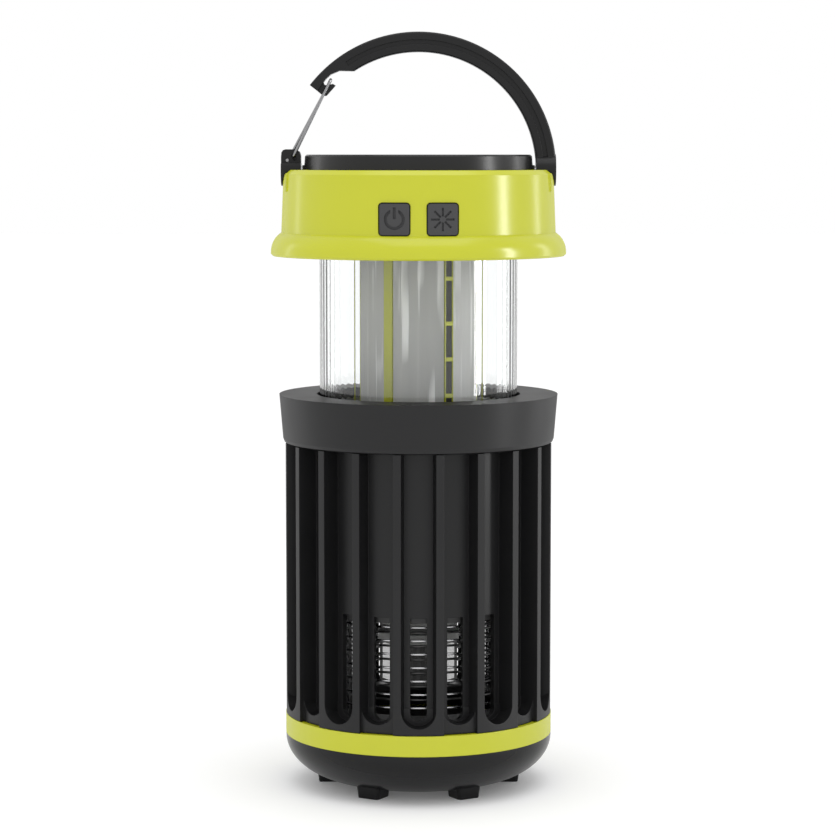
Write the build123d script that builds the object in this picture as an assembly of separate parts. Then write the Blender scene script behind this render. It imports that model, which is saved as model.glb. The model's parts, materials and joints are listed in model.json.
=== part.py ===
"""Collapsible lantern with an insect-zapping chamber below its lamp.

Millimetres, +Z up.  The origin is the centre of the plane of the feet.  The keys face -Y, and the carrying
handle stands in the XZ plane.  Angles round the body are counted from the front (-Y) towards +X.
"""
from build123d import *
import os
from math import cos, radians, sin, sqrt, tan

# ---------------------------------------------------------------- heights
FEET_Z = 0.0
RING_BOTTOM_Z = 15.9
RING_TOP_Z = 22.1
GRILLE_BOTTOM_Z = 22.3
SLOT_BOTTOM_Z = 25.4
SLOT_TOP_Z = 56.5
CEILING_BOTTOM_Z = 57.5
CEILING_TOP_Z = 60.0
COLLAR_BOTTOM_Z = 105.8
SLEEVE_TOP_Z = 114.0
COLLAR_TOP_Z = 120.6
HEAD_BOTTOM_Z = 162.9
HEAD_TOP_Z = 189.0
CAP_TOP_Z = 193.6

# ---------------------------------------------------------------- radii and general fits
GRILLE_R = 41.0
SET_BACK_R = 39.6
SLEEVE_R = 35.3
SLEEVE_BORE_R = 33.5
COLLAR_TOP_R = 42.7
COLLAR_BOTTOM_R = 41.6
COLLAR_HOLE_R = 31.2
SHADE_R = 30.3
SHADE_BORE_R = 28.9
CAP_R = 34.9
SHELL_CAVITY_R = 39.0
WALL = 2.0
GAP = 0.3

# ---------------------------------------------------------------- grille pattern
BAY_COUNT = 20
BAY_ANGLE = 360.0 / BAY_COUNT
RIB_WIDTH = 2.4
BAY_BOTTOM_R = 5.2
FLUSH_BAY_Z = 24.2
SET_BACK_BAY_Z = 24.9
SLOT_WIDTH = 4.9

# ---------------------------------------------------------------- zap chamber
RUNG_COUNT = 7
RUNG_PITCH = 4.08
RUNG_LOWEST_Z = 28.5
GRID_WIRE_R = 0.36
OUTER_GRID_R = 30.8
INNER_GRID_R = 28.2
GRID_POSTS = 6
HOLDER_BORE_R = 26.4
LOWER_HOLDER_Z = 23.0
UPPER_HOLDER_Z = 54.6

# ---------------------------------------------------------------- handle, hook and gate
ARCH_CENTRE_Z = 188.8
ARCH_OUT_R = 41.9
ARCH_IN_R = 35.8
ARCH_WIDTH = 5.2
PIVOT_Z = 188.9
EAR_R = 4.8
ARCH_END_ANGLE = 38.0
PIN_R = 1.2
PIN_FIT = 0.05
GATE_PIVOT_X = -39.9
GATE_PIVOT_Z = 191.9
GATE_LENGTH = 27.7
GATE_LEAN = 28.6
GATE_WIRE_R = 0.45
GATE_OPEN_ANGLE = 20.0
GATE_FOOT_Y = 3.65

# ---------------------------------------------------------------- keys
KEY_X = 7.05
KEY_Z = 174.8
KEY_W = 8.8
KEY_H = 9.2
KEY_FACE_R = 42.15
KEY_CORNER_R = 0.9

BOTTOM = (Align.CENTER, Align.CENTER, Align.MIN)


def disc(radius, z_low, z_high):
    """Plain cylinder on the Z axis."""
    return Pos(0, 0, z_low) * Cylinder(radius, z_high - z_low, align=BOTTOM)


def ring(r_out, r_in, z_low, z_high):
    """Plain tube on the Z axis."""
    return disc(r_out, z_low, z_high) - disc(r_in, z_low, z_high)


def block(x, y, z):
    """Box between pairs of limits."""
    size = [pair[1] - pair[0] for pair in (x, y, z)]
    middle = [(pair[1] + pair[0]) / 2 for pair in (x, y, z)]
    return Pos(*middle) * Box(*size)


def at_angle(angle, shape):
    """Turn a shape built at the front to an angle round the body."""
    return Rot(0, 0, angle) * shape


def rod_x(radius, x, y, z):
    """Cylinder along X between two x limits."""
    return Pos((x[0] + x[1]) / 2, y, z) * Rot(0, 90, 0) * Cylinder(radius, x[1] - x[0])


def rod_y(radius, y, x, z):
    """Cylinder along Y between two y limits."""
    return Pos(x, (y[0] + y[1]) / 2, z) * Rot(90, 0, 0) * Cylinder(radius, y[1] - y[0])


def turned(points):
    """Solid of revolution from straight runs of (radius, z) points."""
    outline = Polyline(*[(r, 0, z) for r, z in points], close=True)
    return revolve(make_face(outline), Axis.Z)


def plate_xz(points, half_width):
    """Prism with an outline in the XZ plane, centred on y = 0."""
    outline = Polyline(*[(x, 0, z) for x, z in points], close=True)
    return extrude(make_face(outline), half_width, dir=(0, 1, 0), both=True)


def on_arch(angle, radius):
    """Point of the XZ plane at an angle above -X, as seen from the arch's centre."""
    return (-radius * cos(radians(angle)), ARCH_CENTRE_Z + radius * sin(radians(angle)))


def save(shape, node):
    """Write one node's STEP file."""
    if isinstance(shape, (list, tuple, ShapeList)):
        shape = Compound(children=list(shape))
    shape.label = node
    export_step(shape, f"parts/{node}.step")


# ================================================================ housing (fixed)
BAYONET_LUGS = 3
LUG_Z = (18.5, 20.3)
LUG_R = 36.6
SKIRT_BOTTOM_Z = 17.0
SEAL_R = 32.6
SEAL_BORE_R = SHADE_R + 0.35
SEAL_Z = (115.2, 117.4)


def make_grille_housing():
    """Slotted sleeve with ribs, closed bays at the bottom and bayonet lugs on its lower skirt."""
    sleeve = ring(SLEEVE_R, SLEEVE_BORE_R, SKIRT_BOTTOM_Z, SLEEVE_TOP_Z)
    bay_top_z = FLUSH_BAY_Z + BAY_BOTTOM_R
    body = sleeve + ring(SET_BACK_R, SLEEVE_BORE_R, GRILLE_BOTTOM_Z, bay_top_z)
    proud = block((-7, 7), (-GRILLE_R - 1, -SLEEVE_R), (GRILLE_BOTTOM_Z, bay_top_z)) & disc(GRILLE_R, 0, 60)
    for bay in range(0, BAY_COUNT, 2):
        body += at_angle(bay * BAY_ANGLE, proud)
    for bay in range(BAY_COUNT):
        floor_z = FLUSH_BAY_Z if bay % 2 == 0 else SET_BACK_BAY_Z
        scoop = rod_y(BAY_BOTTOM_R, (-GRILLE_R - 2, -SLEEVE_R), 0, floor_z + BAY_BOTTOM_R)
        body -= at_angle(bay * BAY_ANGLE, scoop)
    rib = block((-RIB_WIDTH / 2, RIB_WIDTH / 2), (-GRILLE_R - 1, -SLEEVE_R + 1),
                (GRILLE_BOTTOM_Z, COLLAR_BOTTOM_Z)) & disc(GRILLE_R, 0, COLLAR_TOP_Z)
    for index in range(BAY_COUNT):
        body += at_angle((index + 0.5) * BAY_ANGLE, rib)
    slot_r = SLOT_WIDTH / 2
    slot = block((-slot_r, slot_r), (-GRILLE_R - 1, -SLEEVE_BORE_R + 2), (SLOT_BOTTOM_Z + slot_r, SLOT_TOP_Z))
    slot += rod_y(slot_r, (-GRILLE_R - 1, -SLEEVE_BORE_R + 2), 0, SLOT_BOTTOM_Z + slot_r)
    for bay in range(BAY_COUNT):
        body -= at_angle(bay * BAY_ANGLE, slot)
    lug = block((-2.6, 2.6), (-LUG_R - 1, -SLEEVE_R + 0.5), LUG_Z) & disc(LUG_R, 0, RING_TOP_Z)
    for index in range(BAYONET_LUGS):
        body += at_angle(index * 360 / BAYONET_LUGS, lug)
    return body


def make_collar():
    """Top collar: flat rim, tapered skirt and an inner guide for the sliding shade."""
    corner = 1.4
    outline = turned([(COLLAR_HOLE_R, COLLAR_TOP_Z), (COLLAR_TOP_R, COLLAR_TOP_Z),
                      (COLLAR_BOTTOM_R, COLLAR_BOTTOM_Z + corner),
                      (COLLAR_BOTTOM_R - 0.4, COLLAR_BOTTOM_Z + 0.4),
                      (COLLAR_BOTTOM_R - corner, COLLAR_BOTTOM_Z), (COLLAR_HOLE_R, COLLAR_BOTTOM_Z)])
    spigot_space = ring(SLEEVE_R, SLEEVE_BORE_R, COLLAR_BOTTOM_Z - 1, SLEEVE_TOP_Z)
    hollow = ring(SLEEVE_R + 3.4, SLEEVE_R - 0.5, COLLAR_BOTTOM_Z + 2, SLEEVE_TOP_Z + 3)
    seal_space = ring(SEAL_R, COLLAR_HOLE_R - 1, *SEAL_Z)
    return outline - spigot_space - hollow - seal_space


def make_collar_seal():
    """Wiper ring held in a groove of the collar."""
    return ring(SEAL_R, SEAL_BORE_R, *SEAL_Z)


ROD_X = 8.0
ROD_R = 1.2
ROD_TOP_Z = 112.0
TOWER_R = 12.0
TOWER_BOTTOM_Z = 31.0
TOWER_TURN = 30
TOWER_FACE_Y = TOWER_R * cos(radians(30))
TOWER_BANDS_Z = ((44.4, 47.4), (50.0, 51.8))


def make_chamber_ceiling():
    """Partition that closes the chamber and carries the tower and the contact rods."""
    plate = disc(SLEEVE_BORE_R, CEILING_BOTTOM_Z, CEILING_TOP_Z)
    for side in (-1, 1):
        plate -= Pos(side * ROD_X, 0, 0) * disc(ROD_R, CEILING_BOTTOM_Z, CEILING_TOP_Z)
    return plate


def make_contact_rods():
    """Two upright rods that carry current from the lamp head as it telescopes."""
    return [Pos(side * ROD_X, 0, 0) * disc(ROD_R, CEILING_BOTTOM_Z, ROD_TOP_Z) for side in (-1, 1)]


def make_grid(radius, first_z, rungs, start_angle):
    """Wire cage: level rungs joined by upright posts that end at the two holders."""
    cage = None
    for index in range(rungs):
        rung = Pos(0, 0, first_z + index * RUNG_PITCH) * Torus(radius, GRID_WIRE_R)
        cage = rung if cage is None else cage + rung
    for index in range(GRID_POSTS):
        post = Pos(0, -radius, 0) * disc(GRID_WIRE_R * 1.4, LOWER_HOLDER_Z + 2.4, UPPER_HOLDER_Z)
        cage += at_angle(start_angle + index * 360 / GRID_POSTS, post)
    return cage


def make_grid_holder_lower():
    """Ring under the grids, open in the middle so that what falls reaches the tray."""
    return ring(SLEEVE_BORE_R, HOLDER_BORE_R, LOWER_HOLDER_Z, LOWER_HOLDER_Z + 2.4)


def make_grid_holder_upper():
    """Ring above the grids, against the chamber ceiling."""
    return ring(SLEEVE_BORE_R, HOLDER_BORE_R, UPPER_HOLDER_Z, CEILING_BOTTOM_Z)


def hexagon(radius, z_low, z_high, first_angle):
    """Upright hexagonal prism with a corner at an angle from the front."""
    turn = Rot(0, 0, first_angle - 90)
    return Pos(0, 0, z_low) * turn * extrude(RegularPolygon(radius, 6), z_high - z_low)


def make_uv_tower():
    """Hexagonal lamp tower that hangs from the ceiling, with two bands and three finned faces."""
    tower = hexagon(TOWER_R, TOWER_BOTTOM_Z, CEILING_BOTTOM_Z, TOWER_TURN)
    groove = block((-0.6, 0.6), (-TOWER_R, -TOWER_FACE_Y + 0.8), (TOWER_BOTTOM_Z, TOWER_BANDS_Z[0][0]))
    for angle in (0, 120, 240):
        for x in (-3.6, -1.2, 1.2, 3.6):
            tower -= at_angle(angle, Pos(x, 0, 0) * groove)
    for band_z in TOWER_BANDS_Z:
        tower += ring(TOWER_R + 0.5, TOWER_R - 3, *band_z)
    return tower


UV_STRIP_HALF = 2.5
UV_STRIP_Z = (32.7, 43.6)
UV_STRIP_T = 0.9


def make_uv_leds():
    """Three upright emitter strips on alternate faces of the tower, below its bands."""
    strip = block((-UV_STRIP_HALF, UV_STRIP_HALF), (-TOWER_FACE_Y - UV_STRIP_T, -TOWER_FACE_Y), UV_STRIP_Z)
    return [at_angle(angle, strip) for angle in (60, 180, 300)]


BOARD_T = 1.6
BOARD_R = 25.5


def make_hv_board():
    """Round high-voltage board under the ceiling, with the tower through its middle."""
    board = disc(BOARD_R, CEILING_BOTTOM_Z - BOARD_T, CEILING_BOTTOM_Z)
    return board - hexagon(TOWER_R, CEILING_BOTTOM_Z - BOARD_T, CEILING_BOTTOM_Z, TOWER_TURN)


def make_hv_transformer():
    """Wound transformer under the board, at the back."""
    board_z = CEILING_BOTTOM_Z - BOARD_T
    core = block((-4.5, 4.5), (14.5, 22.5), (board_z - 5.0, board_z))
    winding = block((-3.2, 3.2), (13.9, 23.1), (board_z - 4.2, board_z - 0.8))
    return core + winding


def make_hv_capacitor():
    """Film capacitor under the board, at the left."""
    board_z = CEILING_BOTTOM_Z - BOARD_T
    return block((-22.0, -17.5), (-4.0, 4.0), (board_z - 4.6, board_z))


# ================================================================ head (slides on the Z axis)
FLOOR_Z = (163.4, 165.4)
FLOOR_R = 43.2
SHELL_TOP_PLATE = 2.0
CAP_OPENING_R = 33.5
PANEL_R = 31.0
PANEL_Z = (192.3, 193.1)
POCKET_X = 35.5
POCKET_HALF = 10.2
POCKET_FLOOR = (5.4, 185.9)
PORT_Z = (171.8, 178.4)
PORT_HALF = 5.4
SCREW_R = 41.1
SCREW_ANGLES = (45, 135, 225, 315)
SCREW_SHANK_R = 1.0
SCREW_HEAD_R = 1.9
SCREW_TOP_Z = 168.4


def pocket(side):
    """Space at one side of the shell in which a handle ear turns and the handle can lean over."""
    ear_space = rod_x(EAR_R + GAP, (POCKET_X, 44), 0, PIVOT_Z)
    outline = [(-POCKET_HALF, 191), (POCKET_HALF, 191), (POCKET_HALF, HEAD_TOP_Z), POCKET_FLOOR,
               (-POCKET_FLOOR[0], POCKET_FLOOR[1]), (-POCKET_HALF, HEAD_TOP_Z)]
    fan = Polyline(*[(POCKET_X, y, z) for y, z in outline], close=True)
    space = ear_space + extrude(make_face(fan), 8.5, dir=(1, 0, 0))
    return space if side > 0 else at_angle(180, space)


def key_opening(x):
    """Hole with rounded corners in the shell wall for one key."""
    half_w = KEY_W / 2 + GAP
    half_h = KEY_H / 2 + GAP
    hole = block((x - half_w, x + half_w), (-46, -34), (KEY_Z - half_h, KEY_Z + half_h))
    return fillet(hole.edges().filter_by(Axis.Y), KEY_CORNER_R + GAP)


def make_head_shell():
    """Drafted cylinder with a chamfered top and a flared skirt, open below and in the middle of its top."""
    crease = (41.9, 170.0)
    outer = [Line((39.8, 0, HEAD_TOP_Z), (41.2, 0, 187.6)), Line((41.2, 0, 187.6), (crease[0], 0, crease[1])),
             ThreePointArc((crease[0], 0, crease[1]), (44.2, 0, 167.6), (45.1, 0, 164.1)),
             Line((45.1, 0, 164.1), (45.1, 0, 163.5)), Line((45.1, 0, 163.5), (44.5, 0, HEAD_BOTTOM_Z))]
    inner = Polyline((44.5, 0, HEAD_BOTTOM_Z), (FLOOR_R, 0, HEAD_BOTTOM_Z), (FLOOR_R, 0, FLOOR_Z[1]),
                     (SHELL_CAVITY_R, 0, FLOOR_Z[1]), (SHELL_CAVITY_R, 0, HEAD_TOP_Z - SHELL_TOP_PLATE),
                     (CAP_OPENING_R, 0, HEAD_TOP_Z - SHELL_TOP_PLATE), (CAP_OPENING_R, 0, HEAD_TOP_Z),
                     (39.8, 0, HEAD_TOP_Z))
    shell = revolve(make_face(outer + [inner]), Axis.Z)
    boss = block((CAP_OPENING_R, 40.0), (-12.2, 12.2), (182.5, 188.0))
    shell += boss + at_angle(180, boss)
    for side in (-1, 1):
        shell -= pocket(side)
        shell -= rod_x(PIN_R, (side * 29 - 8, side * 29 + 8), 0, PIVOT_Z)
        shell -= key_opening(side * KEY_X)
    shell -= block((-PORT_HALF, PORT_HALF), (36, 46), PORT_Z)
    for angle in SCREW_ANGLES:
        shell -= at_angle(angle, Pos(0, -SCREW_R, 0) * disc(SCREW_SHANK_R, FLOOR_Z[1] - 0.1, SCREW_TOP_Z))
    return shell


def screw_at(angle, head_r, shank_r):
    """Countersunk screw that enters the head from below."""
    head = Pos(0, -SCREW_R, 0) * disc(head_r, FLOOR_Z[0], FLOOR_Z[0] + 1.0)
    shank = Pos(0, -SCREW_R, 0) * disc(shank_r, FLOOR_Z[0] + 1.0, SCREW_TOP_Z)
    return at_angle(angle, head + shank)


def make_head_screws():
    """Four screws with a cross recess."""
    screws = []
    for angle in SCREW_ANGLES:
        cross = block((-1.2, 1.2), (-0.25, 0.25), (0, 0.6)) + block((-0.25, 0.25), (-1.2, 1.2), (0, 0.6))
        recess = at_angle(angle, Pos(0, -SCREW_R, FLOOR_Z[0]) * cross)
        screws.append(screw_at(angle, SCREW_HEAD_R, SCREW_SHANK_R) - recess)
    return screws


def make_head_floor():
    """Flat ring that closes the head from below and holds the shade."""
    plate = ring(FLOOR_R, SHADE_R, *FLOOR_Z)
    for angle in SCREW_ANGLES:
        plate -= screw_at(angle, SCREW_HEAD_R, SCREW_SHANK_R)
    return plate


def make_solar_bezel():
    """Round cap with a recess for the solar panel, and side lugs that hold the hinge pins."""
    edge = 0.5
    cap = turned([(0, HEAD_TOP_Z), (CAP_R, HEAD_TOP_Z), (CAP_R - 0.3, CAP_TOP_Z - edge),
                  (CAP_R - 0.3 - edge, CAP_TOP_Z), (0, CAP_TOP_Z)])
    cap -= disc(PANEL_R, PANEL_Z[0], CAP_TOP_Z)
    cap -= disc(PANEL_R - 3.0, HEAD_TOP_Z, PANEL_Z[0] - 1.2)
    cap += ring(CAP_R - 2.0, PANEL_R - 3.0, HEAD_TOP_Z - 0.6, HEAD_TOP_Z)
    for side in (-1, 1):
        lug = block((28.0, 32.8), (-4, 4), (184.6, 191.0)) + block((32.8, 35.3), (-3, 3), (HEAD_TOP_Z, 190.4))
        cap += at_angle(90 - 90 * side, lug)
        cap -= rod_x(PIN_R, (side * 32.0 - 9, side * 32.0 + 9), 0, PIVOT_Z)
    return cap


def make_hinge_pin(side):
    """Steel pin from the cap's lug through the shell into a handle ear."""
    return rod_x(PIN_R, (29.5, 41.0) if side > 0 else (-41.0, -29.5), 0, PIVOT_Z)


def make_solar_panel():
    """Round panel set in the cap."""
    return disc(PANEL_R, *PANEL_Z)


# ---------------------------------------------------------------- lamp
SHADE_BOTTOM_Z = 104.0
SHADE_FOOT_R = 32.4
SHADE_TOP_Z = 166.4
SHADE_HEAD_R = 33.0
CORE_R = 18.6
CORE_Z = (106.0, 166.4)
PANEL_T = 1.2
SEAM_W = 2.6
SEAM_SLOT_W = 1.3
SEAM_SLOT_FLOOR = 1.3
SEAM_INSERT_FRONT = 1.0
SLOTTED_SEAMS = (30, 150, 270)
SOCKET_TOP_Z = 158.0
SOCKET_WALL = 0.6
SEAM_BRIDGES_Z = (110.0, 121.2, 132.2, 143.0, 156.5)
BRIDGE_H = 1.2


def make_lamp_shade():
    """Clear tube with a foot ring that stops it in the collar and a head ring on the head floor."""
    tube = ring(SHADE_R, SHADE_BORE_R, SHADE_BOTTOM_Z, SHADE_TOP_Z)
    foot = ring(SHADE_FOOT_R, SHADE_BORE_R, SHADE_BOTTOM_Z, SHADE_BOTTOM_Z + 1.5)
    head = ring(SHADE_HEAD_R, SHADE_BORE_R, FLOOR_Z[1], SHADE_TOP_Z)
    return tube + foot + head


def make_shade_floor():
    """Disc that closes the shade's foot, with two holes for the contact rods."""
    plate = disc(SHADE_BORE_R, SHADE_BOTTOM_Z, CORE_Z[0])
    for side in (-1, 1):
        plate -= Pos(side * ROD_X, 0, 0) * disc(ROD_R + GAP, SHADE_BOTTOM_Z, CORE_Z[0])
    return plate


def make_lamp_core():
    """Hexagonal frame: corner strips on a hollow tube, three of them with a dashed slot."""
    tube = hexagon(CORE_R - PANEL_T, *CORE_Z, 30) - hexagon(CORE_R - PANEL_T - 2.0, *CORE_Z, 30)
    strip = block((-SEAM_W / 2, SEAM_W / 2), (-CORE_R + 0.2, -CORE_R + 2.6), CORE_Z)
    for corner in range(6):
        tube += at_angle(30 + corner * 60, strip)
    half = SEAM_SLOT_W / 2
    slot = block((-half, half), (-CORE_R - 1, -CORE_R + SEAM_SLOT_FLOOR), (CORE_Z[0], CORE_Z[1] - 1.0))
    for z in SEAM_BRIDGES_Z:
        bridge_z = (z - BRIDGE_H / 2, z + BRIDGE_H / 2)
        slot -= block((-2, 2), (-CORE_R - 2, -CORE_R + SEAM_INSERT_FRONT), bridge_z)
    for angle in SLOTTED_SEAMS:
        tube -= at_angle(angle, slot)
    return tube


def make_seam_inserts():
    """Dark strips on the floors of the dashed slots, behind the bridges."""
    half = SEAM_SLOT_W / 2
    insert = block((-half, half), (-CORE_R + SEAM_INSERT_FRONT, -CORE_R + SEAM_SLOT_FLOOR),
                   (CORE_Z[0], CORE_Z[1] - 1.0))
    return [at_angle(angle, insert) for angle in SLOTTED_SEAMS]


def make_light_panel(index):
    """Diffuser plate on one face of the core, between two corner strips."""
    apothem = CORE_R * cos(radians(30))
    inner = (CORE_R - PANEL_T) * cos(radians(30))
    half = inner * tan(radians(30)) - (SEAM_W / 2 + 0.1) / cos(radians(30))
    plate = block((-half, half), (-apothem, -inner), CORE_Z)
    return at_angle(index * 60, plate)


def make_lamp_leds():
    """Light strips on the inner faces of the core, one for each panel."""
    inner = (CORE_R - PANEL_T - 2.0) * cos(radians(30))
    strips = []
    for face in range(6):
        strip = block((-3.0, 3.0), (-inner, -inner + 1.0), (CORE_Z[0] + 4, CORE_Z[1] - 4))
        strips.append(at_angle(face * 60, strip))
    return strips


def make_contact_sockets():
    """Two brass tubes in the core that the contact rods slide in."""
    socket = ring(ROD_R + GAP + SOCKET_WALL, ROD_R + GAP, CORE_Z[0], SOCKET_TOP_Z)
    return [Pos(side * ROD_X, 0, 0) * socket for side in (-1, 1)]


# ---------------------------------------------------------------- inside the head
CELL_R = 9.1
CELL_HALF = 32.5
CELL_Y = 9.4
CELL_Z = 177.0
CRADLE_Z = (166.4, 167.6)
BOARD_Y = (-35.0, -33.6)
SWITCH_DEPTH = 2.2
SOCKET_Z = 175.1


def make_battery_cells():
    """Two rechargeable cells side by side along X, each with a raised positive end."""
    cells = []
    for side in (-1, 1):
        can = rod_x(CELL_R, (-CELL_HALF, CELL_HALF - 1.2), side * CELL_Y, CELL_Z)
        tip = rod_x(2.8, (CELL_HALF - 1.2, CELL_HALF), side * CELL_Y, CELL_Z)
        cells.append(can + tip)
    return cells


def make_battery_cradle():
    """Tray on top of the lamp with shaped ribs under the cells."""
    tray = disc(SHADE_HEAD_R, *CRADLE_Z)
    for x in (-24.0, 0.0, 24.0):
        tray += block((x - 1, x + 1), (-19.0, 19.0), (CRADLE_Z[0], CRADLE_Z[1] + 5.0))
    for side in (-1, 1):
        tray -= rod_x(CELL_R, (-40, 40), side * CELL_Y, CELL_Z)
    return tray


def make_control_board():
    """Upright board behind the keys."""
    return block((-15.0, 15.0), BOARD_Y, (FLOOR_Z[1], 182.0))


def make_key_switches():
    """Two push switches on the board, each with a round plunger."""
    switches = []
    for side in (-1, 1):
        base = block((side * KEY_X - 3, side * KEY_X + 3), (BOARD_Y[0] - SWITCH_DEPTH, BOARD_Y[0]),
                     (KEY_Z - 3, KEY_Z + 3))
        plunger = rod_y(1.5, (BOARD_Y[0] - SWITCH_DEPTH - 0.6, BOARD_Y[0]), side * KEY_X, KEY_Z)
        switches.append(base + plunger)
    return switches


def make_charge_board():
    """Small upright board that carries the charging socket at the back."""
    return block((-8.0, 8.0), (36.0, 37.6), (FLOOR_Z[1], SOCKET_Z - 1.6))


def make_usb_socket():
    """Metal charging socket with an oval mouth facing the back."""
    body = block((-4.5, 4.5), (31.0, 39.4), (SOCKET_Z - 1.6, SOCKET_Z + 1.6))
    body = fillet(body.edges().filter_by(Axis.Y), 1.4)
    mouth = block((-4.1, 4.1), (33.0, 40.0), (SOCKET_Z - 1.2, SOCKET_Z + 1.2))
    mouth = fillet(mouth.edges().filter_by(Axis.Y), 1.1)
    tongue = block((-3.2, 3.2), (32.5, 38.6), (SOCKET_Z - 0.3, SOCKET_Z + 0.3))
    return body - mouth + tongue


# ================================================================ keys and port cover
KEY_TRAVEL = 0.8
STEM_R = 2.0
KEY_BACK_Y = -39.4
ICON_DEPTH = 0.5
ICON_LINE = 0.8


def make_key(x, icon):
    """Square push key with a face that follows the shell, a stem behind it and a sunk sign."""
    face = block((x - KEY_W / 2, x + KEY_W / 2), (-46, KEY_BACK_Y), (KEY_Z - KEY_H / 2, KEY_Z + KEY_H / 2))
    face = fillet(face.edges().filter_by(Axis.Y), KEY_CORNER_R) & disc(KEY_FACE_R, 0, HEAD_TOP_Z)
    stem_end = BOARD_Y[0] - SWITCH_DEPTH - 0.6 - KEY_TRAVEL - 0.1
    stem = rod_y(STEM_R, (KEY_BACK_Y - 0.4, stem_end), x, KEY_Z)
    sunk = Pos(x, 0, 0) * icon - disc(KEY_FACE_R - ICON_DEPTH, 0, HEAD_TOP_Z)
    return face + stem - sunk


def power_sign():
    """Open ring with an upright bar."""
    depth = (-46, -39)
    sign = rod_y(3.0, depth, 0, KEY_Z) - rod_y(3.0 - ICON_LINE, depth, 0, KEY_Z)
    sign -= block((-1.2, 1.2), depth, (KEY_Z, KEY_Z + 4))
    return sign + block((-ICON_LINE / 2, ICON_LINE / 2), depth, (KEY_Z + 0.2, KEY_Z + 3.5))


def burst_sign():
    """Eight short rays round a centre."""
    ray = block((-ICON_LINE * 0.35, ICON_LINE * 0.35), (-46, -39), (0.9, 3.4))
    sign = None
    for index in range(8):
        turned_ray = Pos(0, 0, KEY_Z) * Rot(0, 45 * index, 0) * ray
        sign = turned_ray if sign is None else sign + turned_ray
    return sign


COVER_HINGE = (42.6, 171.0)
COVER_HALF = 7.2
COVER_BEAD_R = 0.6
COVER_TOP_Z = 179.6


def make_port_cover():
    """Rubber flap over the charging socket, with a hinge bead, a plug for the opening and a finger lip."""
    band = ring(COVER_HINGE[0] + 0.5, COVER_HINGE[0] - 0.5, COVER_HINGE[1] - 0.1, COVER_TOP_Z)
    flap = band & block((-COVER_HALF, COVER_HALF), (35, 50), (COVER_HINGE[1] - 1, COVER_TOP_Z + 1))
    plug = block((-4.8, 4.8), (40.4, COVER_HINGE[0]), (172.6, 177.2))
    lip = block((-2.5, 2.5), (COVER_HINGE[0], COVER_HINGE[0] + 1.6), (COVER_TOP_Z - 1.2, COVER_TOP_Z))
    bead = rod_x(COVER_BEAD_R, (-5, 5), *COVER_HINGE)
    return flap + plug + lip + bead


# ================================================================ handle and gate
NOSE_HALF = 1.2
HOOK_NOTCH = ((-19.5, 218.8), (-24.0, 218.9), (-26.6, 217.8), (-28.25, 216.3), (-28.9, 215.3),
              (-31.2, 212.2), (-27.0, 208.0), (-15.0, 212.0))
HOOK_NOSE = ((-28.9, 215.6), (-28.6, 214.8), (-28.1, 214.55), (-26.3, 214.9), (-25.0, 215.4), (-24.6, 215.1),
             (-27.9, 211.4), (-28.5, 211.3), (-29.6, 211.85), (-32.0, 213.9))
FACE_GROOVE_R = (38.1, 39.5)
FACE_GROOVE_DEPTH = 0.5


def ear(side):
    """Round end of a handle arm, bored for its hinge pin."""
    disc_part = rod_x(EAR_R, (ARCH_IN_R, ARCH_OUT_R - 0.1), 0, PIVOT_Z)
    bore = rod_x(PIN_R + PIN_FIT, (ARCH_IN_R - 1, 41.3), 0, PIVOT_Z)
    return at_angle(90 - 90 * side, disc_part), at_angle(90 - 90 * side, bore)


def make_handle_arch():
    """Open arch that turns on the right pin and ends at the left in a hook with a thin nose."""
    half = ARCH_WIDTH / 2
    arch = rod_y(ARCH_OUT_R, (-half, half), 0, ARCH_CENTRE_Z)
    arch -= rod_y(ARCH_IN_R, (-half - 1, half + 1), 0, ARCH_CENTRE_Z)
    arch -= block((-60, 60), (-10, 10), (ARCH_CENTRE_Z - 60, ARCH_CENTRE_Z))
    end = on_arch(ARCH_END_ANGLE, 60)
    arch -= plate_xz([(0, ARCH_CENTRE_Z), (-60, ARCH_CENTRE_Z - 1), (-60, ARCH_CENTRE_Z), end], 10)
    edges = arch.edges().filter_by(GeomType.CIRCLE)
    arch = fillet(edges, 0.7)
    arch -= plate_xz(HOOK_NOTCH, 10)
    gate_sweep = rod_y(GATE_LENGTH - GATE_WIRE_R - GAP, (-10, 10), GATE_PIVOT_X, GATE_PIVOT_Z)
    arch += plate_xz(HOOK_NOSE, NOSE_HALF) & gate_sweep
    groove = rod_y(FACE_GROOVE_R[1], (-10, 10), 0, ARCH_CENTRE_Z)
    groove -= rod_y(FACE_GROOVE_R[0], (-11, 11), 0, ARCH_CENTRE_Z)
    web_half = half - FACE_GROOVE_DEPTH
    groove -= block((-60, 60), (-web_half, web_half), (100, 300))
    groove -= block((-60, 60), (-12, 12), (100, ARCH_CENTRE_Z + 1.5))
    groove -= plate_xz([(0, ARCH_CENTRE_Z), (-60, ARCH_CENTRE_Z - 1), (-60, 250), on_arch(56, 80)], 12)
    ear_part, bore = ear(1)
    return arch - groove + ear_part - bore


GATE_FRONT_HOLE = (2.0, 1.2)


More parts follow.
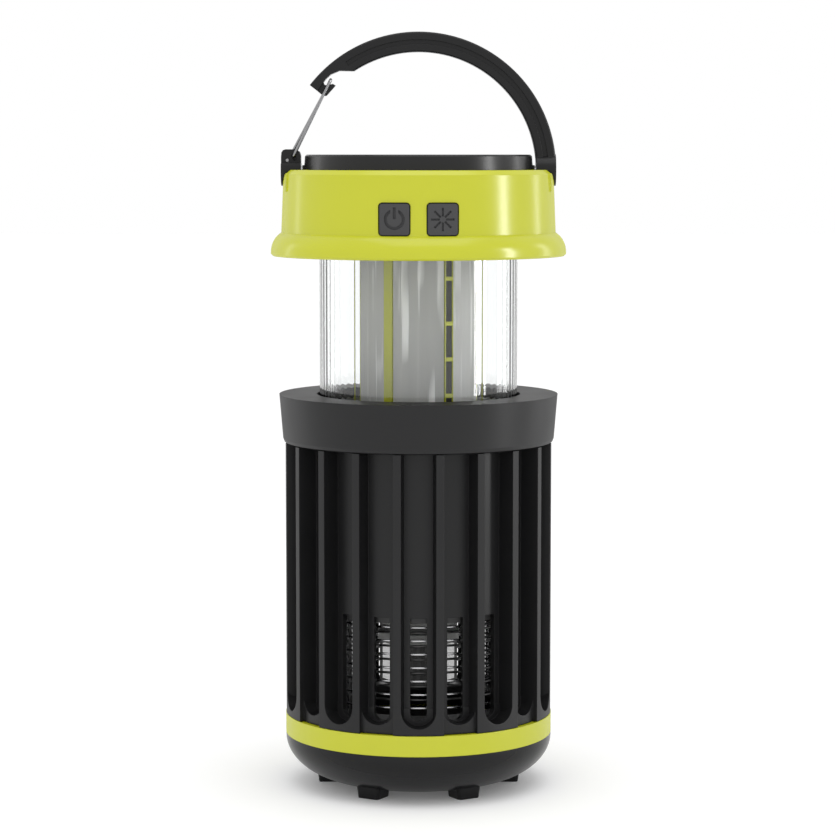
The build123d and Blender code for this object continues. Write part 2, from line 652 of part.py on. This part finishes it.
def make_gate_block():
    """Block on the left pin that holds the two ends of the wire gate."""
    half = ARCH_WIDTH / 2
    block_part = plate_xz([(-41.7, 187.0), (-41.7, 194.2), (-41.2, 194.95), (-40.4, 195.2), (-37.5, 195.2),
                           (-36.2, 194.5), (-35.8, 193.4), (-35.8, 187.0)], half)
    ear_part, bore = ear(-1)
    gate_block = block_part + ear_part - bore
    wire_room_z = GATE_PIVOT_Z - 1.0
    for y_limits in ((-6, -half), (half, 6)):
        gate_block -= block((-43, -35), y_limits, (wire_room_z, CAP_TOP_Z + 2))
    gate_block -= rod_y(GATE_WIRE_R + PIN_FIT, (-10, 10), GATE_PIVOT_X, GATE_PIVOT_Z)
    reach = sqrt(GATE_FRONT_HOLE[0] ** 2 + GATE_FRONT_HOLE[1] ** 2)
    start = 90 - 59.04
    for step in range(9):
        angle = radians(start - (step - 1) * GATE_OPEN_ANGLE / 7)
        x = GATE_PIVOT_X + reach * cos(angle)
        z = GATE_PIVOT_Z + reach * sin(angle)
        gate_block -= rod_y(GATE_WIRE_R + GAP / 2, (-10, -0.9), x, z)
    return gate_block


def make_wire_gate():
    """Bent wire loop whose two ends sit in offset holes, so that it springs shut."""
    top_x = GATE_PIVOT_X + GATE_LENGTH * sin(radians(GATE_LEAN))
    top_z = GATE_PIVOT_Z + GATE_LENGTH * cos(radians(GATE_LEAN))
    front_x = GATE_PIVOT_X + GATE_FRONT_HOLE[0]
    front_z = GATE_PIVOT_Z + GATE_FRONT_HOLE[1]
    route = FilletPolyline((front_x, -1.2, front_z), (front_x, -GATE_FOOT_Y, front_z), (top_x, -2.0, top_z),
                           (top_x, 2.0, top_z), (GATE_PIVOT_X, GATE_FOOT_Y, GATE_PIVOT_Z),
                           (GATE_PIVOT_X, -2.7, GATE_PIVOT_Z), radius=0.8)
    section = Plane(origin=route @ 0, z_dir=route % 0) * Circle(GATE_WIRE_R)
    return sweep(section, path=route)


# ================================================================ base (bayonet-mounted)
CUP_SIDE = (20.0, 13.6)
CUP_CENTRE = (21.0, 15.2)
TWIST_ANGLE = 25.0
FOOT_ANGLES = (30, 90, 150, 210, 270, 330)
FOOT_CIRCLE_R = 27.3
FOOT_SIZE = (7.2, 7.0)


def bowl(shrink, top_z):
    """Solid bowl with elliptical sides, shrunk all round by a wall thickness."""
    side_a = CUP_SIDE[0] - shrink
    side_b = CUP_SIDE[1] - shrink
    curve = Plane.XZ * EllipticalCenterArc(CUP_CENTRE, side_a, side_b, start_angle=-90, arc_size=90)
    start = curve @ 0
    end = curve @ 1
    lines = [curve, Line(end, (end.X, 0, top_z)), Line((end.X, 0, top_z), (0, 0, top_z)),
             Line((0, 0, top_z), (0, 0, start.Z)), Line((0, 0, start.Z), start)]
    return revolve(make_face(lines), Axis.Z)


def make_base_cup():
    """Rounded cup with six moulded feet."""
    cup = bowl(0, RING_BOTTOM_Z)
    foot = plate_foot()
    for angle in FOOT_ANGLES:
        cup += at_angle(angle, foot)
    return cup - bowl(WALL, RING_BOTTOM_Z + 1)


def plate_foot():
    """One foot, slightly narrower at the floor, with rounded upright edges."""
    outline = Pos(0, -FOOT_CIRCLE_R, FEET_Z) * RectangleRounded(*FOOT_SIZE, 1.0)
    return extrude(outline, 4.8, taper=-8)


def sector(start, end):
    """Wedge about the Z axis between two angles from the front."""
    corners = [(0, 0)]
    for angle in (start, (start + end) / 2, end):
        corners.append((60 * sin(radians(angle)), -60 * cos(radians(angle))))
    outline = Polyline(*[(x, y, 0) for x, y in corners], close=True)
    return extrude(make_face(outline), 40, dir=(0, 0, 1))


def make_base_ring():
    """Coloured ring with three bayonet grooves on its inside."""
    bore_r = SLEEVE_R + 0.5
    body = ring(GRILLE_R + 0.05, bore_r, RING_BOTTOM_Z, RING_TOP_Z)
    body += ring(38.7, 36.9, RING_BOTTOM_Z - 2.4, RING_BOTTOM_Z)
    for index in range(BAYONET_LUGS):
        groove = ring(LUG_R + 0.4, bore_r - 1, LUG_Z[0] - 0.35, LUG_Z[1] + 0.35) & sector(-TWIST_ANGLE - 6, 6)
        entry = ring(LUG_R + 0.4, bore_r - 1, LUG_Z[0], RING_TOP_Z)
        entry = entry & sector(-TWIST_ANGLE - 6, -TWIST_ANGLE + 6)
        body -= at_angle(index * 360 / BAYONET_LUGS, groove + entry)
    return body


def make_catch_tray():
    """Shallow dish on the floor of the cup."""
    return turned([(0, 4.0), (25.0, 4.0), (33.5, 10.5), (34.0, 16.4), (32.6, 16.4), (32.2, 11.2), (24.4, 5.4),
                   (0, 5.4)])


# ================================================================ write every node
os.makedirs("parts", exist_ok=True)

NODES = {
    "grille_housing": make_grille_housing(),
    "collar": make_collar(),
    "collar_seal": make_collar_seal(),
    "chamber_ceiling": make_chamber_ceiling(),
    "contact_rods": make_contact_rods(),
    "outer_grid": make_grid(OUTER_GRID_R, RUNG_LOWEST_Z, RUNG_COUNT, 15),
    "inner_grid": make_grid(INNER_GRID_R, RUNG_LOWEST_Z + RUNG_PITCH / 2, RUNG_COUNT - 1, 13),
    "grid_holder_lower": make_grid_holder_lower(),
    "grid_holder_upper": make_grid_holder_upper(),
    "uv_tower": make_uv_tower(),
    "uv_leds": make_uv_leds(),
    "hv_board": make_hv_board(),
    "hv_transformer": make_hv_transformer(),
    "hv_capacitor": make_hv_capacitor(),
    "head_shell": make_head_shell(),
    "head_floor": make_head_floor(),
    "head_screws": make_head_screws(),
    "solar_bezel": make_solar_bezel(),
    "solar_panel": make_solar_panel(),
    "hinge_pin_right": make_hinge_pin(1),
    "hinge_pin_left": make_hinge_pin(-1),
    "lamp_shade": make_lamp_shade(),
    "shade_floor": make_shade_floor(),
    "lamp_core": make_lamp_core(),
    "seam_inserts": make_seam_inserts(),
    "lamp_leds": make_lamp_leds(),
    "contact_sockets": make_contact_sockets(),
    "battery_cells": make_battery_cells(),
    "battery_cradle": make_battery_cradle(),
    "control_board": make_control_board(),
    "key_switches": make_key_switches(),
    "charge_board": make_charge_board(),
    "usb_socket": make_usb_socket(),
    "handle_arch": make_handle_arch(),
    "gate_block": make_gate_block(),
    "wire_gate": make_wire_gate(),
    "power_button": make_key(-KEY_X, power_sign()),
    "lamp_button": make_key(KEY_X, burst_sign()),
    "port_cover": make_port_cover(),
    "base_cup": make_base_cup(),
    "base_ring": make_base_ring(),
    "catch_tray": make_catch_tray(),
}
for index in range(6):
    NODES[f"light_panel_{index + 1}"] = make_light_panel(index)

for node, shape in NODES.items():
    save(shape, node)
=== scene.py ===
"""Looks of the collapsible lantern and insect zapper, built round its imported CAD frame.

Metres, in the CAD frame: +Z up, keys facing -Y, origin at the centre of the plane of the feet.
"""
import json
import math

import bmesh
import bpy
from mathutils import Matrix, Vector


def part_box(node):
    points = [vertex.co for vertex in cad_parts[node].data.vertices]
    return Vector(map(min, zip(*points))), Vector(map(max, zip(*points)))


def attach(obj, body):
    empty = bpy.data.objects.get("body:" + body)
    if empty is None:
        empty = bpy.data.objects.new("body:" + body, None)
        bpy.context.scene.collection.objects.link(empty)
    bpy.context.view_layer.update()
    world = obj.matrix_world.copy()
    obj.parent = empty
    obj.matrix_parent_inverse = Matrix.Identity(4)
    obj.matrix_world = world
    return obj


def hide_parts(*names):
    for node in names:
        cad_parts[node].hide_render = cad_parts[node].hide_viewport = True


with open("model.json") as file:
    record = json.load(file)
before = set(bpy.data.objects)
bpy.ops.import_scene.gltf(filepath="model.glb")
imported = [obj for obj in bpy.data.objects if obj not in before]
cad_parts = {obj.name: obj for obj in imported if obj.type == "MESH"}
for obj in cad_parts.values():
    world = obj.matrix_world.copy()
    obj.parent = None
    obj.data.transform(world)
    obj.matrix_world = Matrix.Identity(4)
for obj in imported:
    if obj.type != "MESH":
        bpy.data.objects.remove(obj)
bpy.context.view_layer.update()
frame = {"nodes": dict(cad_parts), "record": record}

MM = 0.001
NODES = frame["nodes"]
scene = bpy.context.scene


# ---------------------------------------------------------------- camera
EYE_DISTANCE = 0.850
EYE_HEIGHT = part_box("solar_bezel")[1].z
EYE_PITCH = math.radians(5.41)
EYE_SIDE = -0.0003
LENS = 119.7
SENSOR_WIDTH = 36
CLIP_START = 0.05


def make_camera():
    """Camera level with the cap, looking slightly down at the front."""
    camera = bpy.data.objects.new("camera", bpy.data.cameras.new("camera"))
    scene.collection.objects.link(camera)
    camera.location = (EYE_SIDE, -EYE_DISTANCE, EYE_HEIGHT)
    camera.rotation_euler = (math.pi / 2 - EYE_PITCH, 0, 0)
    camera.data.lens = LENS
    camera.data.sensor_width = SENSOR_WIDTH
    camera.data.clip_start = CLIP_START
    scene.camera = camera


# ---------------------------------------------------------------- studio
STRIP_SIZE = (0.10, 0.9)
STRIP_HEIGHT = 0.13
AIM_HEIGHT = 0.12
FLOOR_RADIUS = 6.0
FLOOR_GAP = 0.05 * MM
FLOOR_GLOW = 0.09


def make_area_light(name, azimuth, distance, height, size, power, diffuse=True):
    """Rectangular light at an angle from the front towards +X, aimed at the axis; without diffuse it shows
    only in reflections and through the clear shade."""
    data = bpy.data.lights.new(name, "AREA")
    data.shape = "RECTANGLE"
    data.size, data.size_y = size
    data.energy = power
    light = bpy.data.objects.new(name, data)
    scene.collection.objects.link(light)
    angle = math.radians(azimuth)
    place = Vector((distance * math.sin(angle), -distance * math.cos(angle), height))
    target = Vector((0, 0, min(height, AIM_HEIGHT)))
    light.location = place
    light.rotation_euler = (target - place).to_track_quat("-Z", "Y").to_euler()
    light.visible_diffuse = diffuse


def make_studio():
    """White surround, pale floor, soft light from above, and strips at the right and the left."""
    world = bpy.data.worlds.new("studio")
    scene.world = world
    world.use_nodes = True
    background = world.node_tree.nodes["Background"]
    background.inputs["Color"].default_value = (1, 1, 1, 1)
    background.inputs["Strength"].default_value = 1.0
    make_area_light("strip_right", 74, 0.9, STRIP_HEIGHT, STRIP_SIZE, 5.0, diffuse=False)
    make_area_light("strip_rear_right", 116, 0.9, STRIP_HEIGHT, STRIP_SIZE, 1.2, diffuse=False)
    make_area_light("strip_left", -120, 1.0, STRIP_HEIGHT, STRIP_SIZE, 0.6, diffuse=False)
    make_area_light("top", 10, 0.25, 1.1, (0.9, 0.9), 3.0)
    bpy.ops.mesh.primitive_circle_add(vertices=96, radius=FLOOR_RADIUS, fill_type="NGON",
                                      location=(0, 0, -FLOOR_GAP))
    floor = bpy.context.object
    floor.name = "floor"
    paper = make_surface("floor_paper", (0.94, 0.94, 0.94), rough=0.8, tint_span=0.01, grain=300,
                         grain_height=0.02)
    floor.data.materials.append(make_glow(paper, (1, 1, 1), FLOOR_GLOW))
    scene.view_settings.view_transform = "Standard"


# ---------------------------------------------------------------- materials
# Upright stretch of the streaks that are painted reflections on the light panels.
PAINTED_REFLECTION_STRETCH = 0.06
CELL_ROW = 0.25
CELL_LINE = 0.02


def add_node(tree, kind, **inputs):
    """New shader node with the values of its named sockets."""
    node = tree.nodes.new(kind)
    for key, value in inputs.items():
        node.inputs[key.replace("_", " ")].default_value = value
    return node


def make_surface(name, color, rough, rough_span=0.06, tint_span=0.05, grain=2500.0, grain_height=0.01,
                 metal=0.0, coat=0.0, coat_rough=0.08, specular=0.5, stretch=(1, 1, 1), patch=60.0,
                 edge=0.2, rim=0.0):
    """Principled surface: colour and roughness drift in soft patches, the bump follows a fine grain.

    grain_height and edge (the rounding seen on sharp edges) are in mm; rim is how much of the
    gloss is lost where the surface is seen edge on.
    """
    material = bpy.data.materials.new(name)
    material.use_nodes = True
    tree = material.node_tree
    shader = tree.nodes["Principled BSDF"]
    shader.inputs["Metallic"].default_value = metal
    shader.inputs["Coat Weight"].default_value = coat
    shader.inputs["Coat Roughness"].default_value = coat_rough
    shader.inputs["Specular IOR Level"].default_value = specular
    place = tree.nodes.new("ShaderNodeTexCoord")
    mapping = tree.nodes.new("ShaderNodeMapping")
    mapping.inputs["Scale"].default_value = stretch
    tree.links.new(place.outputs["Object"], mapping.inputs["Vector"])

    soft = add_node(tree, "ShaderNodeTexNoise", Scale=patch, Detail=3.0)
    tree.links.new(mapping.outputs["Vector"], soft.inputs["Vector"])
    mix = tree.nodes.new("ShaderNodeMix")
    mix.name = "tint"
    mix.data_type = "RGBA"
    mix.inputs["A"].default_value = (*[c * (1 - tint_span) for c in color], 1)
    mix.inputs["B"].default_value = (*[min(1, c * (1 + tint_span)) for c in color], 1)
    tree.links.new(soft.outputs["Fac"], mix.inputs["Factor"])
    tree.links.new(mix.outputs["Result"], shader.inputs["Base Color"])

    fine = add_node(tree, "ShaderNodeTexNoise", Scale=grain, Detail=4.0, Roughness=0.6)
    tree.links.new(mapping.outputs["Vector"], fine.inputs["Vector"])
    span = add_node(tree, "ShaderNodeMapRange", To_Min=max(0.02, rough - rough_span),
                    To_Max=rough + rough_span)
    tree.links.new(soft.outputs["Fac"], span.inputs["Value"])
    tree.links.new(span.outputs["Result"], shader.inputs["Roughness"])
    bump = add_node(tree, "ShaderNodeBump", Strength=0.6, Distance=grain_height * MM)
    tree.links.new(fine.outputs["Fac"], bump.inputs["Height"])
    tree.links.new(bump.outputs["Normal"], shader.inputs["Normal"])
    if edge:
        rounding = add_node(tree, "ShaderNodeBevel", Radius=edge * MM)
        rounding.samples = 4
        tree.links.new(rounding.outputs["Normal"], bump.inputs["Normal"])
    if rim:
        facing = tree.nodes.new("ShaderNodeLayerWeight")
        fade = add_node(tree, "ShaderNodeMapRange", From_Min=0.45, From_Max=0.85, To_Min=specular,
                        To_Max=specular * (1 - rim))
        tree.links.new(facing.outputs["Facing"], fade.inputs["Value"])
        tree.links.new(fade.outputs["Result"], shader.inputs["Specular IOR Level"])
    return material


def add_height_zones(material, zones, color):
    """Second colour inside ranges of height, in mm."""
    tree = material.node_tree
    place = tree.nodes.new("ShaderNodeTexCoord")
    split = tree.nodes.new("ShaderNodeSeparateXYZ")
    tree.links.new(place.outputs["Object"], split.inputs["Vector"])
    source = tree.nodes["tint"].outputs["Result"]
    for low, high in zones:
        inside = tree.nodes.new("ShaderNodeMath")
        inside.operation = "COMPARE"
        inside.inputs[1].default_value = (low + high) / 2 * MM
        inside.inputs[2].default_value = (high - low) / 2 * MM
        tree.links.new(split.outputs["Z"], inside.inputs[0])
        zone = tree.nodes.new("ShaderNodeMix")
        zone.data_type = "RGBA"
        zone.inputs["B"].default_value = (*color, 1)
        tree.links.new(inside.outputs["Value"], zone.inputs["Factor"])
        tree.links.new(source, zone.inputs["A"])
        source = zone.outputs["Result"]
    tree.links.new(source, tree.nodes["Principled BSDF"].inputs["Base Color"])
    return material


def add_painted_reflections(material, color, scale, low, high):
    """Painted reflections: a second, near-white colour in upright wavy streaks, standing in for reflections
    of lights in the clear shade.
    """
    tree = material.node_tree
    place = tree.nodes.new("ShaderNodeTexCoord")
    mapping = tree.nodes.new("ShaderNodeMapping")
    mapping.inputs["Scale"].default_value = (1, 1, PAINTED_REFLECTION_STRETCH)
    tree.links.new(place.outputs["Object"], mapping.inputs["Vector"])
    noise = add_node(tree, "ShaderNodeTexNoise", Scale=scale, Detail=2.0, Distortion=0.4)
    tree.links.new(mapping.outputs["Vector"], noise.inputs["Vector"])
    cut = add_node(tree, "ShaderNodeMapRange", From_Min=low, From_Max=high)
    tree.links.new(noise.outputs["Fac"], cut.inputs["Value"])
    painted_reflection = tree.nodes.new("ShaderNodeMix")
    painted_reflection.data_type = "RGBA"
    painted_reflection.inputs["B"].default_value = (*color, 1)
    tree.links.new(cut.outputs["Result"], painted_reflection.inputs["Factor"])
    tree.links.new(tree.nodes["tint"].outputs["Result"], painted_reflection.inputs["A"])
    tree.links.new(painted_reflection.outputs["Result"], tree.nodes["Principled BSDF"].inputs["Base Color"])
    return material


def add_cells(material, line_color, pitch):
    """Pale grid lines between the cells of a solar panel; the pitch is in mm."""
    tree = material.node_tree
    place = tree.nodes.new("ShaderNodeTexCoord")
    bricks = add_node(tree, "ShaderNodeTexBrick", Scale=1 / (pitch * MM), Mortar_Size=CELL_LINE,
                      Brick_Width=1.0, Row_Height=CELL_ROW, Mortar=(*line_color, 1))
    bricks.offset = 0
    tree.links.new(place.outputs["Object"], bricks.inputs["Vector"])
    tint = tree.nodes["tint"].outputs["Result"]
    tree.links.new(tint, bricks.inputs["Color1"])
    tree.links.new(tint, bricks.inputs["Color2"])
    tree.links.new(bricks.outputs["Color"], tree.nodes["Principled BSDF"].inputs["Base Color"])
    return material


def make_clear(name):
    """Clear moulded plastic with very faint flow marks."""
    material = make_surface(name, (0.97, 0.98, 0.98), rough=0.03, rough_span=0.015, tint_span=0.01, grain=400,
                            grain_height=0.004, patch=90, edge=0)
    shader = material.node_tree.nodes["Principled BSDF"]
    shader.inputs["Transmission Weight"].default_value = 1.0
    shader.inputs["IOR"].default_value = 1.46
    return material


def make_glow(material, color, strength):
    """Adds a faint light of its own to a surface."""
    shader = material.node_tree.nodes["Principled BSDF"]
    shader.inputs["Emission Color"].default_value = (*color, 1)
    shader.inputs["Emission Strength"].default_value = strength
    return material


BODY_GREY = (0.0095, 0.0095, 0.0100)

MATERIALS = {
    "shell_yellow": make_surface("shell_yellow", (0.505, 0.525, 0.017), rough=0.22, rough_span=0.03,
                                 tint_span=0.02, grain=900, grain_height=0.004, rim=0.97, edge=0.3),
    "body_black": make_surface("body_black", BODY_GREY, rough=0.38, rough_span=0.05, tint_span=0.15,
                               grain=3500, grain_height=0.010, specular=0.30, rim=0.85, edge=0.25),
    "cap_black": make_surface("cap_black", (0.010, 0.010, 0.0105), rough=0.26, rough_span=0.04,
                              tint_span=0.12, grain=1800, grain_height=0.005, specular=0.32, rim=0.6),
    "handle_black": make_surface("handle_black", (0.010, 0.010, 0.0105), rough=0.32, rough_span=0.05,
                                 tint_span=0.12, grain=2600, grain_height=0.008, specular=0.25, rim=0.5),
    "key_rubber": make_surface("key_rubber", (0.048, 0.048, 0.050), rough=0.62, rough_span=0.05,
                               tint_span=0.08, grain=5200, grain_height=0.014, specular=0.35),
    "clear_plastic": make_clear("clear_plastic"),
    "steel": make_surface("steel", (0.52, 0.52, 0.53), rough=0.26, rough_span=0.06, grain=1200,
                          grain_height=0.003, metal=1.0, stretch=(1, 1, 0.15), edge=0),
    "brass": make_surface("brass", (0.72, 0.52, 0.22), rough=0.28, rough_span=0.08, grain=1500,
                          grain_height=0.01, metal=1.0, stretch=(1, 1, 0.15)),
    "board": make_surface("board", (0.012, 0.10, 0.035), rough=0.38, grain=1200, grain_height=0.02,
                          tint_span=0.25, patch=500),
    "led": make_surface("led", (0.86, 0.84, 0.70), rough=0.3, grain=900, grain_height=0.01),
    "solar_glass": add_cells(
        make_surface("solar_glass", (0.010, 0.016, 0.045), rough=0.12, rough_span=0.02, tint_span=0.4,
                     grain=700, grain_height=0.003, coat=1.0, coat_rough=0.03, patch=160),
        line_color=(0.10, 0.11, 0.13), pitch=15.5),
    # Light panels: the near-white upright streaks are painted reflections of the lights in the clear shade's
    # wall, not marks on the panels.
    "diffuser_grey": add_painted_reflections(
        make_surface("diffuser_grey", (0.50, 0.50, 0.485), rough=0.40, rough_span=0.06, tint_span=0.16,
                     grain=800, grain_height=0.006, specular=0.2, stretch=(1, 1, 0.03), patch=420),
        color=(1.0, 1.0, 0.99), scale=330, low=0.55, high=0.66),
    "cell_wrap": make_surface("cell_wrap", (0.03, 0.09, 0.30), rough=0.30, grain=900, grain_height=0.006,
                              coat=0.5),
    "seal_rubber": make_surface("seal_rubber", (0.42, 0.42, 0.42), rough=0.55, grain=2600, grain_height=0.01),
    # Inner tower: its own pale grey shows only in two bands of height; the dark base colour elsewhere is
    # painted shade of the fins deep in the chamber.
    "inner_white": add_height_zones(
        make_surface("inner_white", (0.11, 0.11, 0.108), rough=0.38, grain=1400, grain_height=0.01),
        zones=((44.3, 47.5), (49.9, 51.9)), color=(0.42, 0.42, 0.41)),
    "dark_part": make_surface("dark_part", (0.018, 0.018, 0.018), rough=0.45, grain=2400, grain_height=0.01,
                              tint_span=0.15),
}
OWN_MATERIAL = {
    "inner_grid": make_surface("shaded_wire", (0.10, 0.10, 0.10), rough=0.35, grain=1200, grain_height=0.003,
                               metal=1.0, edge=0),
    "base_cup": make_surface("base_black", BODY_GREY, rough=0.24, rough_span=0.04, tint_span=0.12, grain=2200,
                             grain_height=0.005, specular=0.20, rim=0.3, edge=0.3),
    "wire_gate": make_surface("gate_wire", (0.30, 0.30, 0.305), rough=0.24, rough_span=0.04, grain=700,
                              grain_height=0.001, metal=1.0, edge=0),
    "uv_leds": make_glow(
        make_surface("uv_emitter", (0.80, 0.80, 0.84), rough=0.4, grain=900, grain_height=0.01),
        color=(1.0, 1.0, 0.98), strength=0.30),
}
SLOT_OF = {part["node"]: part["material_slot"] for part in frame["record"]["subparts"]}


def paint(mesh, node):
    """Gives a mesh a node's own material, or else the material of the node's slot."""
    mesh.materials.clear()
    mesh.materials.append(OWN_MATERIAL.get(node, MATERIALS[SLOT_OF[node]]))


def paint_cad_nodes():
    """Gives every CAD node its material."""
    for node, piece in NODES.items():
        paint(piece.data, node)


# ---------------------------------------------------------------- mesh helpers
def new_piece(name, mesh, node, body):
    """Object for a finished mesh that rides on a body, takes a node's slot and stands for that node."""
    piece = bpy.data.objects.new(name, mesh)
    scene.collection.objects.link(piece)
    paint(mesh, node)
    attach(piece, body)
    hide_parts(node)


# ---------------------------------------------------------------- clear shade
FLUTES = 72
FLUTE_DEPTH = 0.09 * MM
STEPS_PER_FLUTE = 6
SHADE_BORE_R = 28.9 * MM
SHADE_R = 30.3 * MM
FOOT_RING_R = 32.4 * MM
FOOT_RING_HEIGHT = 1.5 * MM
HEAD_RING_R = 33.0 * MM
HEAD_RING_HEIGHT = 1.0 * MM
SHARP_ANGLE = math.radians(40)


def make_shade():
    """Clear tube with fine upright flutes on its outside, a foot ring and a head ring."""
    low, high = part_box("lamp_shade")
    steps = FLUTES * STEPS_PER_FLUTE
    foot_z = low.z + FOOT_RING_HEIGHT
    head_z = high.z - HEAD_RING_HEIGHT
    rings = [(low.z, SHADE_BORE_R, 0), (low.z, FOOT_RING_R, 0), (foot_z, FOOT_RING_R, 0),
             (foot_z, SHADE_R, 1), (head_z, SHADE_R, 1), (head_z, HEAD_RING_R, 0),
             (high.z, HEAD_RING_R, 0), (high.z, SHADE_BORE_R, 0)]
    work = bmesh.new()
    loops = []
    for z, radius, fluted in rings:
        loop = []
        for step in range(steps):
            angle = 2 * math.pi * step / steps
            wave = abs(math.sin(FLUTES * angle / 2))
            r = radius - fluted * FLUTE_DEPTH * (1 - wave)
            loop.append(work.verts.new((r * math.sin(angle), -r * math.cos(angle), z)))
        loops.append(loop)
    for index, loop in enumerate(loops):
        after = loops[(index + 1) % len(loops)]
        for step in range(steps):
            nxt = (step + 1) % steps
            work.faces.new((loop[step], loop[nxt], after[nxt], after[step]))
    bmesh.ops.recalc_face_normals(work, faces=work.faces)
    for face in work.faces:
        face.smooth = True
    for edge in work.edges:
        if edge.calc_face_angle(0) > SHARP_ANGLE:
            edge.smooth = False
    mesh = bpy.data.meshes.new("clear_shade")
    work.to_mesh(mesh)
    work.free()
    new_piece("clear_shade", mesh, "lamp_shade", "head")


# ---------------------------------------------------------------- wire gate
GATE_WIRE_R = 0.45 * MM
GATE_BEND_R = 0.8 * MM
BEND_STEPS = 8
WIRE_RESOLUTION = 6
# Corners of the wire in mm, from one end in the gate block round to the other.
GATE_ROUTE = ((-37.9, -1.2, 193.1), (-37.9, -3.65, 193.1), (-26.64, -2.0, 216.22), (-26.64, 2.0, 216.22),
              (-39.9, 3.65, 191.9), (-39.9, -2.7, 191.9))


def make_gate():
    """Round wire bent into a loop, with smooth bends."""
    route = [Vector(point) * MM for point in GATE_ROUTE]
    path = [route[0]]
    for before, corner, after in zip(route, route[1:], route[2:]):
        start = corner + (before - corner).normalized() * GATE_BEND_R
        end = corner + (after - corner).normalized() * GATE_BEND_R
        for step in range(BEND_STEPS + 1):
            t = step / BEND_STEPS
            path.append(start * (1 - t) ** 2 + corner * 2 * t * (1 - t) + end * t ** 2)
    path.append(route[-1])
    curve = bpy.data.curves.new("gate_route", "CURVE")
    curve.dimensions = "3D"
    curve.bevel_depth = GATE_WIRE_R
    curve.bevel_resolution = WIRE_RESOLUTION
    curve.use_fill_caps = True
    spline = curve.splines.new("POLY")
    spline.points.add(len(path) - 1)
    for point, place in zip(spline.points, path):
        point.co = (*place, 1)
    guide = bpy.data.objects.new("gate_route", curve)
    mesh = bpy.data.meshes.new_from_object(guide)
    bpy.data.objects.remove(guide)
    mesh.shade_smooth()
    new_piece("gate_loop", mesh, "wire_gate", "wire_gate")


# ---------------------------------------------------------------- build
make_camera()
make_studio()
paint_cad_nodes()
make_shade()
make_gate()
